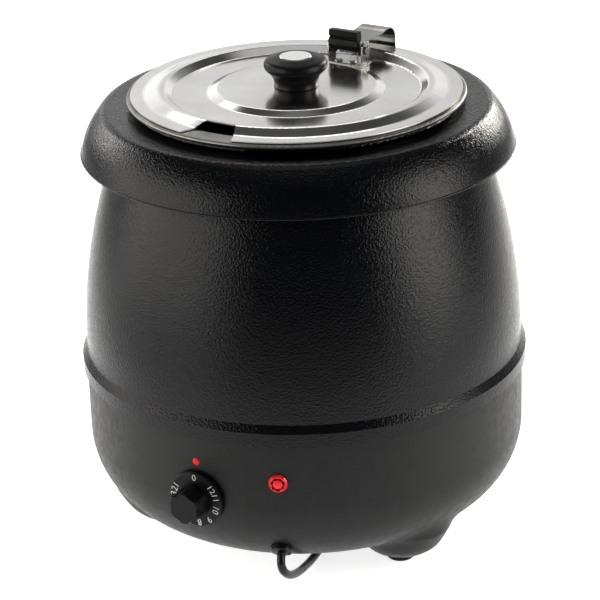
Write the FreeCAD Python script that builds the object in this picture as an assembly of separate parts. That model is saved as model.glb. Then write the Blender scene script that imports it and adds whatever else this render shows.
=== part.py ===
import FreeCAD, Part
import math
import os

# Electric wet-heat soup kettle of about eight litres
# Millimetres, +Z up, floor at z = 0, kettle axis on Z, front towards -Y
# An azimuth is counted from the front, positive to the right seen from the front

# Base bowl and feet
BOWL_R = 167.3
BOWL_WALL = 3.5
BOWL_FLOOR_Z = 25.5
BOWL_CORNER_R = 60.0
FOOT_AZIMUTHS = (-63.0, 57.0, 177.0)
FOOT_CIRCLE_R = 108.5
FOOT_PAD_R = 11.2
FOOT_PAD_H = 5.8
FOOT_PAD_EDGE_R = 3.5
FOOT_BLEND_R = 12.0
FOOT_SCREW_R = 2.0

# Barrel jacket, measured on its outer face
JACKET_SHEET = 1.2
BELT_R = 170.0
BELT_BOTTOM_Z = 137.0
BELT_TOP_Z = 147.0
BARREL_FOOT_R = 166.2
BARREL_FOOT_Z = 152.5
BARREL_ARC_R = 407.0
BARREL_TANGENT_Z = 155.0
BARREL_TOP_Z = 298.0
JACKET_FLANGE_R = 126.0
JACKET_TOP_Z = 336.0

# Collar, measured on its outer face
COLLAR_SHEET = 1.5
COLLAR_LIP_R = 161.4
COLLAR_LIP_Z = 305.9
SHELF_Z = 338.5
NECK_R = 119.0
NECK_TOP_Z = 345.2
COLLAR_SCREW_CIRCLE_R = 129.0
COLLAR_SCREW_R = 2.0

# Water pan
PAN_SHEET = 1.0
PAN_R = 118.5
PAN_BOTTOM_Z = 83.5
PAN_FLANGE_R = 133.0

# Insert pot, hung by its rolled rim on the collar's neck
POT_SHEET = 1.0
POT_R = 109.0
POT_BOTTOM_Z = 98.0
POT_FLOOR_SEAM_Z = 112.0
POT_RIM_SEAM_Z = 342.8
POT_FLANGE_TOP_Z = 346.6
BEAD_CIRCLE_R = 124.0
BEAD_R = 1.6

# Lid, measured on its upper face
LID_TURN = -14.0
LID_SHEET = 1.0
LID_R = 122.6
LID_RIM_Z = 348.0
LID_CREST_Z = 351.5
LID_DISC_R = 58.5
LID_DISC_Z = 349.8
LID_RECESS_Z = 347.0
NOTCH_INNER_R = 100.6
NOTCH_INNER_HALF = 12.0
NOTCH_OUTER_R = 127.0
NOTCH_OUTER_HALF = 24.0

# Lid knob
KNOB_TOP_Z = 372.6
KNOB_CAP_R = 11.9
KNOB_SCREW_R = 2.5

# Hinge on the lid, in a frame whose +X runs outwards along the hinge azimuth
HINGE_AZIMUTH = 180.0 + LID_TURN
PIN_X = 76.0
PIN_Z = 357.5
PIN_R = 2.0
PIN_RUNNING_GAP = 0.05
BRACKET_SHEET = 1.2
BRACKET_HALF = 15.4
CLIP_SHEET = 1.0
CLIP_HALF = 11.9
HOOK_X = 123.7
HOOK_Z = POT_FLANGE_TOP_Z - BEAD_R
HOOK_R = 3.3
HOOK_WRAP = 65.0
SPRING_COIL_R = 3.0
SPRING_WIRE_R = 0.5
SPRING_TURNS = 6
SPRING_PITCH = 2.2

# Controls on the front of the bowl
DIAL_AZIMUTH = -10.6
DIAL_Z = 88.0
DIAL_SKIRT_R = 21.5
DIAL_GRIP_R = 12.8
DIAL_FLUTES = 6
DIAL_FLUTE_R = 12.0
DIAL_FLUTE_DEPTH = 2.4
DIAL_BACK_X = 168.7
DIAL_FACE_X = 171.6
DIAL_GRIP_X = 188.0
SHAFT_R = 3.0
SHAFT_END_X = 182.0
BUSH_R = 4.9
THERMOSTAT_FACE_X = 157.0
INDEX_Z = 117.0
INDEX_R = 2.85
LAMP_AZIMUTH = 10.6
LAMP_Z = 107.5
LAMP_R = 7.0

# Heater and what hangs under the pan
HEATER_RING_R = 75.0
HEATER_TUBE_R = 4.0
STUD_R = 3.0

# Cord, gland, put-away coil and plug
GLAND_AZIMUTH = 10.2
GLAND_CIRCLE_R = 153.3
GLAND_HEAD_R = 8.0
GLAND_SHANK_R = 5.5
GLAND_SHANK_L = 15.5
GLAND_HEAD_H = 4.5
CORD_R = 3.1
COIL_CENTRE = (-79.5, 160.0)
COIL_LAYER_Z = (3.9, 10.6)
COIL_INNER_R = 26.0
COIL_PITCH = 6.7
COIL_TURNS = 3
COIL_END = 2 * COIL_TURNS + 0.5
COIL_FLARE = 5.0
TIE_STRAP = 0.8
PLUG_HALF_H = COIL_LAYER_Z[1]

# Route of the free cord from the gland to the coil, chosen by hand
CORD_ROUTE = (
    (28.9, -158.7, 37.3),
    (29.6, -157.8, 32.9),
    (30.4, -152.0, 26.4),
    (30.6, -141.0, 19.5),
    (30.0, -124.0, 12.4),
    (29.4, -106.0, 7.3),
    (29.2, -88.0, 3.4),
    (30.5, -62.0, 3.1),
    (31.0, -22.0, 3.1),
    (20.0, 30.0, 3.1),
    (-2.0, 76.0, 3.1),
    (-22.0, 112.0, 3.1),
)

# Clearances and shared small sizes
SCREW_GAP = 0.05
SEAT_GAP = 0.1
FAR = 400.0

V = FreeCAD.Vector
ORIGIN = V(0, 0, 0)
UP = V(0, 0, 1)
OUT = V(1, 0, 0)


# Helpers


def corner_arc(before, corner, after, radius):
    """Start, middle and end of the arc that rounds a corner."""
    back = (before - corner).normalize()
    ahead = (after - corner).normalize()
    half = back.getAngle(ahead) / 2
    reach = radius / math.tan(half)
    middle = corner + (back + ahead).normalize() * (radius / math.sin(half) - radius)
    return corner + back * reach, middle, corner + ahead * reach


def rounded_edges(corners, closed):
    """Edges along corners given as (point, radius), with tangent arcs at the rounded ones."""
    count = len(corners)
    joints = []
    for i, (point, radius) in enumerate(corners):
        inner = closed or 0 < i < count - 1
        if radius > 0 and inner:
            joints.append(corner_arc(corners[i - 1][0], point, corners[(i + 1) % count][0], radius))
        else:
            joints.append((point, None, point))
    edges = []
    for i, (start, middle, end) in enumerate(joints):
        if middle is not None:
            edges.append(Part.Arc(start, middle, end).toShape())
        if i + 1 < count or closed:
            following = joints[(i + 1) % count][0]
            if end.distanceToPoint(following) > 1e-6:
                edges.append(Part.LineSegment(end, following).toShape())
    return edges


def outline(points):
    """Face in the XZ plane from (x, z) or (x, z, corner radius) points."""
    corners = [(V(p[0], 0, p[1]), p[2] if len(p) > 2 else 0) for p in points]
    return Part.Face(Part.Wire(rounded_edges(corners, True)))


def sheet(path, thickness):
    """Section of a bent sheet: a path of (x, z, bend radius) thickened to its left."""
    points = [V(p[0], 0, p[1]) for p in path]
    ways = [(b - a).normalize() for a, b in zip(points, points[1:])]
    lefts = [V(-w.z, 0, w.x) for w in ways]
    face, back = [], []
    for i, point in enumerate(points):
        first = lefts[max(i - 1, 0)]
        second = lefts[min(i, len(lefts) - 1)]
        shift = (first + second) * (thickness / (1 + first.dot(second)))
        turn = ways[max(i - 1, 0)].cross(ways[min(i, len(ways) - 1)]).y
        bend = path[i][2]
        other = max(bend + math.copysign(thickness, turn), 0) if bend else 0
        face.append((point, bend))
        back.append((point + shift, other))
    return Part.Face(Part.Wire(rounded_edges(face + back[::-1], True)))


def revolved(face):
    return face.revolve(ORIGIN, UP, 360)


def extruded(face, low_y, high_y):
    """Solid between two Y planes from a face drawn in the XZ plane."""
    face.translate(V(0, low_y, 0))
    return face.extrude(V(0, high_y - low_y, 0))


def rod(radius, start, end):
    return Part.makeCylinder(radius, start.distanceToPoint(end), start, end - start)


def block(low, high):
    size = V(*high) - V(*low)
    return Part.makeBox(size.x, size.y, size.z, V(*low))


def turned(shape, azimuth):
    """A shape built with +X outwards, set at an azimuth of the kettle."""
    copy = shape.copy()
    copy.rotate(ORIGIN, UP, azimuth - 90)
    return copy


def tube(edges, radius):
    """Round tube along tangent edges, made as a pipe shell in default mode."""
    spine = Part.Wire(edges)
    start = edges[0].valueAt(edges[0].FirstParameter)
    way = edges[0].tangentAt(edges[0].FirstParameter)
    section = Part.Wire(Part.Circle(start, way, radius).toShape())
    shell = Part.BRepOffsetAPI.MakePipeShell(spine)
    shell.add(section)
    shell.build()
    shell.makeSolid()
    return shell.shape()


def tangent_arc(start, way, end):
    """Arc that leaves start along way and ends at end."""
    chord = end - start
    along = V(chord).normalize()
    side = way - along * way.dot(along)
    if side.Length < 1e-9:
        return Part.LineSegment(start, end).toShape()
    height = chord.Length / 2 * math.tan(way.getAngle(along) / 2)
    middle = start + chord * 0.5 + side.normalize() * height
    return Part.Arc(start, middle, end).toShape()


def biarc(start, start_way, end, end_way):
    """Two tangent arcs that join two points with given directions."""
    span = end - start
    ways = start_way + end_way
    bend = 2 * (1 - start_way.dot(end_way))
    mixed = span.dot(ways)
    reach = (-mixed + math.sqrt(mixed * mixed + bend * span.dot(span))) / bend
    middle = (start + start_way * reach + end - end_way * reach) * 0.5
    second = tangent_arc(end, end_way * -1, middle)
    second = Part.Arc(middle, second.valueAt(second.FirstParameter / 2 + second.LastParameter / 2), end)
    return [tangent_arc(start, start_way, middle), second.toShape()]


def winding(point_at, start, end, step):
    """Biarc edges along a curve given by a function of its turn count."""
    def way_at(turn):
        return (point_at(turn + 1e-4) - point_at(turn - 1e-4)).normalize()
    edges = []
    for i in range(round((end - start) / step)):
        low = start + i * step
        edges += biarc(point_at(low), way_at(low), point_at(low + step), way_at(low + step))
    return edges, way_at(start), way_at(end)


# Base


def foot_place(azimuth):
    return turned(Part.Vertex(V(FOOT_CIRCLE_R, 0, 0)), azimuth).Point


def bowl_outside():
    """Outer form of the bowl with the three foot bosses run into it."""
    seat_slope = (BELT_R - BARREL_FOOT_R) / (BARREL_FOOT_Z - BELT_TOP_Z)
    sheet_z = JACKET_SHEET / math.sin(math.atan(seat_slope))
    seat_z = BELT_TOP_Z + (BELT_R - BOWL_R) / seat_slope - sheet_z
    rim_z = seat_z + 2.0
    body = revolved(outline([
        (0, BOWL_FLOOR_Z), (BOWL_R, BOWL_FLOOR_Z, BOWL_CORNER_R), (BOWL_R, seat_z),
        (BOWL_R - 2.0 * seat_slope, rim_z), (0, rim_z),
    ]))
    boss = revolved(outline([
        (0, FOOT_PAD_H), (13.5, FOOT_PAD_H, 2.0), (27.5, 13.6, 18.0), (34.5, 30.0, 15.0),
        (36.0, 46.0), (0, 46.0),
    ]))
    for azimuth in FOOT_AZIMUTHS:
        foot = boss.copy()
        foot.translate(foot_place(azimuth))
        body = body.fuse(foot)
    creases = [e for e in body.Edges if is_foot_crease(e)]
    return body.makeFillet(FOOT_BLEND_R, creases)


def is_foot_crease(edge):
    """True for the edge where a foot boss runs into the bowl's underside."""
    box = edge.BoundBox
    around_axis = abs(box.Center.x) < 1 and abs(box.Center.y) < 1
    return box.ZMin > 20 and box.ZMax < 60 and not around_axis and box.DiagonalLength > 15


def base_bowl():
    inner_r = BOWL_R - BOWL_WALL
    floor = BOWL_FLOOR_Z + BOWL_WALL
    cavity = revolved(outline([
        (0, floor), (inner_r, floor, BOWL_CORNER_R - BOWL_WALL), (inner_r, FAR), (0, FAR),
    ]))
    bowl = bowl_outside().cut(cavity)
    pad = block((THERMOSTAT_FACE_X, -20, DIAL_Z - 20), (162.5, 20, DIAL_Z + 20))
    bowl = bowl.fuse(turned(pad, DIAL_AZIMUTH))
    for cutter in (*dial_cutters(), *lamp_cutters(), gland_cutter(), stud_cutter()):
        bowl = bowl.cut(cutter)
    for azimuth in FOOT_AZIMUTHS:
        hole = rod(FOOT_SCREW_R + SCREW_GAP, V(0, 0, 0), V(0, 0, 20.0))
        hole.translate(foot_place(azimuth))
        bowl = bowl.cut(hole)
    return bowl.removeSplitter()


def dial_cutters():
    """Holes for the thermostat bush, its screws and the index dot."""
    bush = rod(BUSH_R + SEAT_GAP, V(150, 0, DIAL_Z), V(FAR, 0, DIAL_Z))
    dot = rod(INDEX_R + SCREW_GAP, V(165.6, 0, INDEX_Z), V(FAR, 0, INDEX_Z))
    cutters = [bush, dot]
    for side in (-1, 1):
        at = V(0, side * 14.0, DIAL_Z)
        cutters.append(rod(2.0, at + OUT * 150, at + OUT * FAR))
        cutters.append(rod(3.7, at + OUT * 164.6, at + OUT * FAR))
    return [turned(c, DIAL_AZIMUTH) for c in cutters]


def lamp_cutters():
    hole = rod(5.5 + SEAT_GAP, V(150, 0, LAMP_Z), V(FAR, 0, LAMP_Z))
    face = rod(LAMP_R + SEAT_GAP, V(166.9, 0, LAMP_Z), V(FAR, 0, LAMP_Z))
    return [turned(c, LAMP_AZIMUTH) for c in (hole, face)]


def gland_axis():
    """Seat point and outward direction of the gland, in the frame of its azimuth."""
    centre = V(BOWL_R - BOWL_CORNER_R, 0, BOWL_FLOOR_Z + BOWL_CORNER_R)
    across = GLAND_CIRCLE_R - centre.x
    way = V(across, 0, -math.sqrt(BOWL_CORNER_R ** 2 - across ** 2)).normalize()
    return centre + way * (BOWL_CORNER_R - 0.6), way


def gland_cutter():
    seat, way = gland_axis()
    hole = rod(GLAND_SHANK_R + SEAT_GAP, seat - way * 20, seat + way * 30)
    face = rod(GLAND_HEAD_R + 0.4, seat, seat + way * 30)
    return turned(hole.fuse(face), GLAND_AZIMUTH)


def stud_cutter():
    return rod(STUD_R + 0.2, V(0, 0, 0), V(0, 0, 60))


def foot_pads():
    pad = revolved(outline([
        (FOOT_SCREW_R + SCREW_GAP, 2.6), (4.6, 2.6), (4.6, 0), (FOOT_PAD_R, 0, FOOT_PAD_EDGE_R),
        (FOOT_PAD_R, FOOT_PAD_H), (FOOT_SCREW_R + SCREW_GAP, FOOT_PAD_H),
    ]))
    return at_feet(pad)


def foot_screws():
    screw = revolved(outline([
        (0, 0.8), (3.0, 0.8, 0.8), (4.2, 2.6), (FOOT_SCREW_R, 2.6), (FOOT_SCREW_R, 19.0), (0, 19.0),
    ]))
    return at_feet(screw)


def at_feet(shape):
    copies = []
    for azimuth in FOOT_AZIMUTHS:
        copy = shape.copy()
        copy.translate(foot_place(azimuth))
        copies.append(copy)
    return Part.makeCompound(copies)


# Body shells


def jacket():
    """Barrel with a belt at its foot and a flange turned in under the collar."""
    turn = math.asin((BARREL_TOP_Z - BARREL_TANGENT_Z) / BARREL_ARC_R)
    tangent = BARREL_ARC_R * math.tan(turn / 2)
    corner_z = BARREL_TANGENT_Z + tangent
    run = tangent + 3.0
    throat_r = BARREL_FOOT_R - run * math.sin(turn)
    throat_z = corner_z + run * math.cos(turn)
    return revolved(sheet([
        (BELT_R, BELT_BOTTOM_Z, 0), (BELT_R, BELT_TOP_Z, 0), (BARREL_FOOT_R, BARREL_FOOT_Z, 0),
        (BARREL_FOOT_R, corner_z, BARREL_ARC_R), (throat_r, throat_z, 10.0),
        (throat_r, JACKET_TOP_Z, 3.0), (JACKET_FLANGE_R, JACKET_TOP_Z, 0),
    ], JACKET_SHEET))


def collar():
    """Flared collar: lip, curved wall, flat shelf and upright neck."""
    ring = revolved(sheet([
        (COLLAR_LIP_R, COLLAR_LIP_Z, 0), (157.2, 322.5, 60.0), (144.0, SHELF_Z, 7.0),
        (NECK_R, SHELF_Z, 2.0), (NECK_R, NECK_TOP_Z, 0),
    ], COLLAR_SHEET))
    return ring


def collar_screws():
    """Screws up through the jacket's flange and the pan's flange into the shelf."""
    head_z = JACKET_TOP_Z - JACKET_SHEET
    screw = revolved(outline([
        (0, head_z - 2.4), (2.6, head_z - 2.4, 0.8), (3.6, head_z), (COLLAR_SCREW_R, head_z),
        (COLLAR_SCREW_R, SHELF_Z - 0.4), (0, SHELF_Z - 0.4),
    ]))
    return Part.makeCompound(at_collar_screws(screw))


def at_collar_screws(shape):
    copies = []
    for azimuth in (45, 135, 225, 315):
        copy = shape.copy()
        copy.translate(V(COLLAR_SCREW_CIRCLE_R, 0, 0))
        copies.append(turned(copy, azimuth))
    return copies


def collar_screw_holes():
    hole = rod(COLLAR_SCREW_R + SCREW_GAP, V(0, 0, JACKET_TOP_Z - 10), V(0, 0, SHELF_Z - 0.4))
    return at_collar_screws(hole)


def drilled(shape, holes):
    for hole in holes:
        shape = shape.cut(hole)
    return shape


def water_pan():
    flange_z = JACKET_TOP_Z
    pan = revolved(sheet([
        (0, PAN_BOTTOM_Z, 0), (PAN_R, PAN_BOTTOM_Z, 14.0),
        (PAN_R, flange_z, 1.5), (PAN_FLANGE_R, flange_z, 0),
    ], PAN_SHEET))
    return drilled(pan, collar_screw_holes())


def pot_shape():
    """The whole pot: floor with a round corner, straight wall, flange and rolled bead."""
    flange_z = POT_FLANGE_TOP_Z - POT_SHEET
    pot = revolved(sheet([
        (0, POT_BOTTOM_Z, 0), (POT_R, POT_BOTTOM_Z, 13.0),
        (POT_R, flange_z, 1.5), (BEAD_CIRCLE_R, flange_z, 0),
    ], POT_SHEET))
    bead = Part.makeTorus(BEAD_CIRCLE_R, BEAD_R, V(0, 0, POT_FLANGE_TOP_Z - BEAD_R))
    return pot.fuse(bead).removeSplitter()


def pot_between(low_z, high_z):
    return pot_shape().common(block((-FAR, -FAR, low_z), (FAR, FAR, high_z)))


def pot_floor():
    return pot_between(0, POT_FLOOR_SEAM_Z)


def pot_wall():
    return pot_between(POT_FLOOR_SEAM_Z, POT_RIM_SEAM_Z)


def pot_rim():
    return pot_between(POT_RIM_SEAM_Z, 2 * FAR)


# Lid


def lid():
    """Pressed lid: raised disc, recess, crest and flat rim, with a ladle notch at the front."""
    disc = revolved(sheet([
        (0, LID_DISC_Z, 0), (LID_DISC_R, LID_DISC_Z, 3.5), (66.0, LID_RECESS_Z, 3.5),
        (92.0, LID_RECESS_Z, 2.5), (97.6, LID_CREST_Z, 3.5), (102.0, LID_CREST_Z, 8.0),
        (112.5, LID_RIM_Z, 9.0), (LID_R, LID_RIM_Z, 0),
    ], -LID_SHEET))
    notch = outline([
        (NOTCH_INNER_R, -NOTCH_INNER_HALF, 2.0), (NOTCH_OUTER_R, -NOTCH_OUTER_HALF),
        (NOTCH_OUTER_R, NOTCH_OUTER_HALF), (NOTCH_INNER_R, NOTCH_INNER_HALF, 2.0),
    ])
    notch.rotate(ORIGIN, OUT, 90)
    notch.translate(V(0, 0, LID_RECESS_Z - 20))
    disc = disc.cut(turned(notch.extrude(UP * 40), LID_TURN))
    screw_hole = rod(KNOB_SCREW_R + SCREW_GAP, V(0, 0, 300), V(0, 0, FAR))
    rivet_holes = [turned(r, HINGE_AZIMUTH) for r in rivet_rods(SCREW_GAP)]
    return drilled(disc, [screw_hole, *rivet_holes])


def lid_knob():
    knob = revolved(outline([
        (0, LID_DISC_Z), (16.4, LID_DISC_Z, 0.6), (15.6, 356.6, 11.0), (23.8, 364.4, 4.2),
        (23.0, 370.0, 3.6), (14.2, KNOB_TOP_Z, 6.0), (KNOB_CAP_R + SEAT_GAP, KNOB_TOP_Z),
        (KNOB_CAP_R + SEAT_GAP, KNOB_TOP_Z - 1.2), (0, KNOB_TOP_Z - 1.2),
    ]))
    return knob.cut(rod(KNOB_SCREW_R + SCREW_GAP, V(0, 0, 340), V(0, 0, KNOB_TOP_Z - 8)))


def knob_cap():
    return revolved(outline([
        (0, KNOB_TOP_Z - 1.2), (KNOB_CAP_R, KNOB_TOP_Z - 1.2),
        (KNOB_CAP_R, KNOB_TOP_Z + 0.2, 0.6), (0, KNOB_TOP_Z + 0.4),
    ]))


def knob_screw():
    under = LID_DISC_Z - LID_SHEET
    top = KNOB_TOP_Z - 10
    return revolved(outline([
        (0, under - 3.2), (3.4, under - 3.2, 1.2), (5.0, under), (KNOB_SCREW_R, under),
        (KNOB_SCREW_R, top), (0, top),
    ]))


# Hinge


def rivet_rods(gap):
    return [rod(2.0 + gap, V(71.6, y, 340), V(71.6, y, 352)) for y in (-6.0, 6.0)]


def pin_hole(gap):
    return rod(PIN_R + gap, V(PIN_X, -30, PIN_Z), V(PIN_X, 30, PIN_Z))


def hinge_bracket():
    """U-shaped bracket: a foot on the lid's recess and two ears for the pin."""
    top = LID_RECESS_Z + BRACKET_SHEET
    body = block((67.6, -BRACKET_HALF, LID_RECESS_Z), (87.5, BRACKET_HALF, top))
    for side in (-1, 1):
        ear = outline([
            (PIN_X - 5.2, LID_RECESS_Z), (PIN_X + 5.2, LID_RECESS_Z),
            (PIN_X + 5.0, PIN_Z + 7.0, 4.8), (PIN_X - 5.0, PIN_Z + 7.0, 4.8),
        ])
        low = BRACKET_HALF - BRACKET_SHEET if side > 0 else -BRACKET_HALF
        body = body.fuse(extruded(ear, low, low + BRACKET_SHEET))
    body = drilled(body, [pin_hole(SCREW_GAP), *rivet_rods(SCREW_GAP)])
    return turned(body.removeSplitter(), HINGE_AZIMUTH)


def bracket_rivets():
    top = LID_RECESS_Z + BRACKET_SHEET
    under = LID_RECESS_Z - LID_SHEET
    rivet = revolved(outline([
        (0, under - 1.0), (2.6, under - 1.0, 0.6), (3.0, under), (2.0, under), (2.0, top),
        (3.2, top), (2.6, top + 1.2, 0.9), (0, top + 1.4),
    ]))
    rivets = []
    for side in (-1, 1):
        copy = rivet.copy()
        copy.translate(V(71.6, side * 6.0, 0))
        rivets.append(turned(copy, HINGE_AZIMUTH))
    return Part.makeCompound(rivets)


def hinge_pin():
    shaft = rod(PIN_R, V(PIN_X, -17.0, PIN_Z), V(PIN_X, 17.0, PIN_Z))
    for side in (-1, 1):
        start = V(PIN_X, side * BRACKET_HALF, PIN_Z)
        shaft = shaft.fuse(rod(3.1, start, start + V(0, side * 1.6, 0)))
    return turned(shaft.removeSplitter(), HINGE_AZIMUTH)


def clip_shape():
    """Strap with an upright tab, pin lugs and a hook that arches over the pot's rim."""
    drop = HOOK_R * math.tan(math.radians(HOOK_WRAP / 2))
    back_x = HOOK_X + HOOK_R
    tip = V(back_x - drop * math.sin(math.radians(HOOK_WRAP)), 0,
            HOOK_Z - drop - drop * math.cos(math.radians(HOOK_WRAP)))
    strap = extruded(sheet([
        (72.5, 371.4, 0), (72.5, 361.6, 2.2), (108.0, 361.8, 20.0), (114.0, 363.0, 9.0),
        (back_x, 363.0, 9.0), (back_x, HOOK_Z - drop, HOOK_R), (tip.x, tip.z, 0),
    ], CLIP_SHEET), -CLIP_HALF, CLIP_HALF)
    for low in (-CLIP_HALF, CLIP_HALF - CLIP_SHEET):
        lug = outline([
            (PIN_X - 4.1, 362.2), (PIN_X - 4.1, PIN_Z - 4.1, 4.0),
            (PIN_X + 4.1, PIN_Z - 4.1, 4.0), (PIN_X + 4.1, 362.2),
        ])
        strap = strap.fuse(extruded(lug, low, low + CLIP_SHEET))
    return strap.cut(pin_hole(PIN_RUNNING_GAP)).removeSplitter()


def hinge_clip():
    return turned(clip_shape(), HINGE_AZIMUTH)


def thumb_grip():
    """Moulded grip pushed over the clip's tab, with a lip, a groove and a lower bulge."""
    front = PIN_X - 4.1
    grip = extruded(outline([
        (front, 357.8, 0.6), (68.8, 357.8, 0.8), (67.0, 361.8, 4.0), (68.4, 366.0, 1.0),
        (69.8, 367.2, 0.6), (68.4, 368.4, 0.8), (68.2, 372.9, 1.0), (74.8, 372.9, 1.0),
        (74.8, 365.0, 0.8), (front, 365.0),
    ]), -12.3, 12.3)
    return turned(grip.cut(clip_shape()), HINGE_AZIMUTH)


def clip_spring():
    """Torsion spring round the pin, with one leg to the bracket and one to the clip."""
    half = SPRING_TURNS * SPRING_PITCH / 2

    def point_at(turn):
        angle = 2 * math.pi * turn
        return V(PIN_X + SPRING_COIL_R * math.cos(angle), SPRING_PITCH * turn - half,
                 PIN_Z + SPRING_COIL_R * math.sin(angle))

    coil, first, last = winding(point_at, 0, SPRING_TURNS, 0.25)
    start, end = point_at(0), point_at(SPRING_TURNS)
    foot = V(start.x, start.y, LID_RECESS_Z + BRACKET_SHEET)
    leg = Part.LineSegment(foot, start).toShape()
    tail = Part.LineSegment(end, end + last * 3.6).toShape()
    return turned(tube([leg, *coil, tail], SPRING_WIRE_R), HINGE_AZIMUTH)


# Controls


def about_radial_axis(face, height):
    """Solid of revolution about an outward axis, from a face of (distance from it, distance out)."""
    solid = revolved(face)
    solid.rotate(ORIGIN, V(0, 1, 0), 90)
    solid.translate(V(0, 0, height))
    return solid


def thermostat_dial():
    """Dial with a flat number skirt and a fluted grip."""
    skirt = about_radial_axis(outline([
        (SHAFT_R + SCREW_GAP, DIAL_BACK_X), (DIAL_SKIRT_R, DIAL_BACK_X),
        (DIAL_SKIRT_R, DIAL_FACE_X - 0.8), (DIAL_SKIRT_R - 0.9, DIAL_FACE_X),
        (SHAFT_R + SCREW_GAP, DIAL_FACE_X),
    ]), DIAL_Z)
    grip = about_radial_axis(outline([
        (0, DIAL_FACE_X), (DIAL_GRIP_R, DIAL_FACE_X), (DIAL_GRIP_R - 0.6, DIAL_GRIP_X, 1.0),
        (0, DIAL_GRIP_X),
    ]), DIAL_Z)
    for i in range(DIAL_FLUTES):
        angle = 2 * math.pi * (i + 0.5) / DIAL_FLUTES
        way = V(0, math.sin(angle), math.cos(angle))
        at = V(0, 0, DIAL_Z) + way * (DIAL_GRIP_R - DIAL_FLUTE_DEPTH + DIAL_FLUTE_R)
        grip = grip.cut(rod(DIAL_FLUTE_R, at + OUT * (DIAL_FACE_X + 1.0), at + OUT * FAR))
    dial = skirt.fuse(grip)
    hole = rod(SHAFT_R + SCREW_GAP, V(100, 0, DIAL_Z), V(SHAFT_END_X, 0, DIAL_Z))
    return turned(dial.cut(hole).removeSplitter(), DIAL_AZIMUTH)


def thermostat_shaft():
    return turned(rod(SHAFT_R, V(148, 0, DIAL_Z), V(SHAFT_END_X, 0, DIAL_Z)), DIAL_AZIMUTH)


def thermostat():
    """Capillary thermostat: case, mounting plate and bush."""
    plate_x = THERMOSTAT_FACE_X - 1.2
    case = block((126, -17, DIAL_Z - 17), (plate_x, 17, DIAL_Z + 17))
    plate = block((plate_x, -19, DIAL_Z - 14), (THERMOSTAT_FACE_X, 19, DIAL_Z + 14))
    bush = rod(BUSH_R, V(plate_x, 0, DIAL_Z), V(168.2, 0, DIAL_Z))
    body = case.fuse(plate).fuse(bush)
    bore = rod(SHAFT_R + PIN_RUNNING_GAP, V(147.5, 0, DIAL_Z), V(FAR, 0, DIAL_Z))
    holes = [rod(2.0, V(148, y, DIAL_Z), V(FAR, y, DIAL_Z)) for y in (-14.0, 14.0)]
    return turned(drilled(body, [bore, *holes]).removeSplitter(), DIAL_AZIMUTH)


def thermostat_screws():
    screws = []
    for y in (-14.0, 14.0):
        head = rod(3.5, V(164.6, y, DIAL_Z), V(166.4, y, DIAL_Z))
        shank = rod(1.95, V(149, y, DIAL_Z), V(164.6, y, DIAL_Z))
        screws.append(turned(head.fuse(shank).removeSplitter(), DIAL_AZIMUTH))
    return Part.makeCompound(screws)


def index_dot():
    dot = about_radial_axis(outline([
        (0, 165.6), (INDEX_R, 165.6), (INDEX_R, 167.6, 0.5), (0, 168.1),
    ]), INDEX_Z)
    return turned(dot, DIAL_AZIMUTH)


def lamp_lens():
    lens = about_radial_axis(outline([
        (0, 163.6), (5.5, 163.6), (5.5, 166.9), (LAMP_R, 166.9), (LAMP_R, 168.4, 0.6),
        (6.0, 170.0, 0.4), (5.0, 170.0, 0.3), (3.8, 168.9), (3.5, 170.2, 0.8), (0, 170.6),
    ]), LAMP_Z)
    return turned(lens, LAMP_AZIMUTH)


def lamp_holder():
    holder = about_radial_axis(outline([
        (0, 140.0), (3.0, 140.0), (3.0, 146.0), (LAMP_R, 146.0, 1.0), (LAMP_R, 163.6), (0, 163.6),
    ]), LAMP_Z)
    return turned(holder, LAMP_AZIMUTH)


# Heater and wiring parts


def heater():
    """Ring heater under the pan, open at the rear, with two legs turned down."""
    gap = math.radians(18)
    z = PAN_BOTTOM_Z - HEATER_TUBE_R

    def ring_point(angle):
        return V(HEATER_RING_R * math.sin(angle), HEATER_RING_R * math.cos(angle), z)

    first, middle, last = (ring_point(a) for a in (gap, math.pi, 2 * math.pi - gap))
    ring = tube([Part.Arc(first, middle, last).toShape()], HEATER_TUBE_R)
    for end in (first, last):
        ring = ring.fuse(rod(HEATER_TUBE_R, end, end - UP * 20))
        ring = ring.fuse(Part.makeSphere(HEATER_TUBE_R, end))
    return ring.removeSplitter()


def heater_clamp():
    """Bar across the heater ring, pulled up against it by the tie stud."""
    top = PAN_BOTTOM_Z - 2 * HEATER_TUBE_R
    bar = block((-86, -9, top - 2.5), (86, 9, top))
    return bar.cut(rod(STUD_R + 0.2, V(0, 0, 50), V(0, 0, 90)))


def tie_stud():
    return rod(STUD_R, V(0, 0, BOWL_FLOOR_Z - 7.0), V(0, 0, PAN_BOTTOM_Z))


def tie_nuts():
    """Nut under the clamp bar and nut with washer under the bowl."""
    bar_z = PAN_BOTTOM_Z - 2 * HEATER_TUBE_R - 2.5
    nuts = [hex_nut(bar_z - 5.0, 5.0), hex_nut(BOWL_FLOOR_Z - 6.5, 5.0)]
    washer = rod(9.0, V(0, 0, BOWL_FLOOR_Z - 1.5), V(0, 0, BOWL_FLOOR_Z))
    bore = rod(STUD_R + SCREW_GAP, V(0, 0, 0), V(0, 0, 100))
    nuts[1] = nuts[1].fuse(washer.cut(bore)).removeSplitter()
    return Part.makeCompound(nuts)


def hex_nut(low_z, height):
    corners = [V(5.77 * math.cos(math.pi / 3 * i), 5.77 * math.sin(math.pi / 3 * i), low_z) for i in range(6)]
    prism = Part.Face(Part.makePolygon(corners + corners[:1])).extrude(UP * height)
    return prism.cut(rod(STUD_R + SCREW_GAP, V(0, 0, 0), V(0, 0, 100)))


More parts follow.
